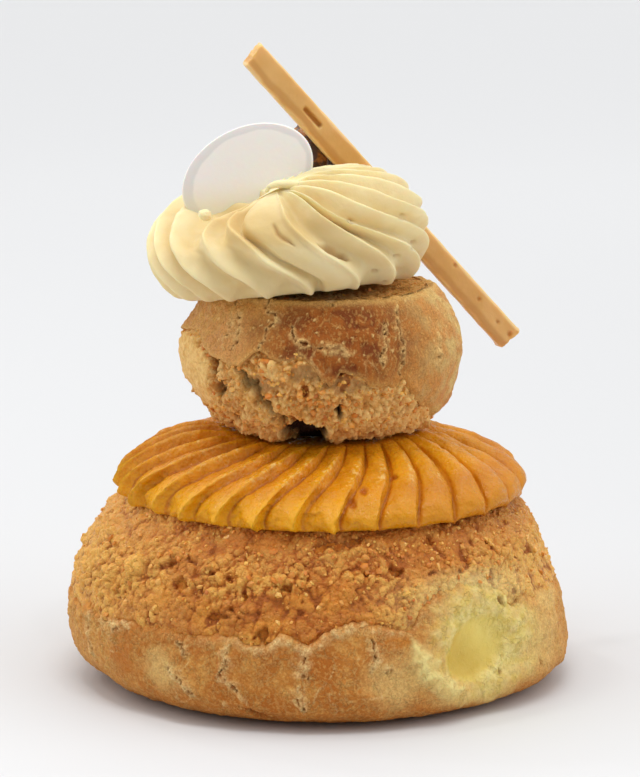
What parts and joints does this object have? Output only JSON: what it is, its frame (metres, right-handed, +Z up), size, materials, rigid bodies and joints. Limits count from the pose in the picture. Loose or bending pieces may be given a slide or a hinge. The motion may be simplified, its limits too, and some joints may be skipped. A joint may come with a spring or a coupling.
{
  "type": "religieuse choux pastry",
  "caption": "Religieuse: a small choux bun stands on a large one over a fluted orange cream collar, topped by a piped cream rosette with a white disc, a caramel stick and a nut.",
  "frame": {"origin": "middle of the large choux's flat underside, on the surface it stands on", "axes": "+Z up through both buns, -Y towards the front, where the soft dent and the cream's peak show, +X to the right, where the stick's lower end hangs"},
  "size_m": [0.0761, 0.0751, 0.0949],
  "materials": {
    "baked_choux": "golden crumbly sugar crust over dry baked choux",
    "orange_cream": "moist glossy orange cream",
    "browned_choux": "dark baked crust, smooth above and crumbly below",
    "pale_cream": "smooth satin piped cream",
    "white_sugar": "satin warm white with a pale grey border",
    "blond_caramel": "waxy blond caramel",
    "burnt_caramel": "dark glossy caramel"
  },
  "bodies": {
    "root": {"large_choux": "baked_choux", "orange_collar": "orange_cream", "small_choux": "browned_choux", "cream_rosette": "pale_cream", "white_disc": "white_sugar", "caramel_stick": "blond_caramel", "dark_nut": "burnt_caramel"}
  },
  "joints": []
}
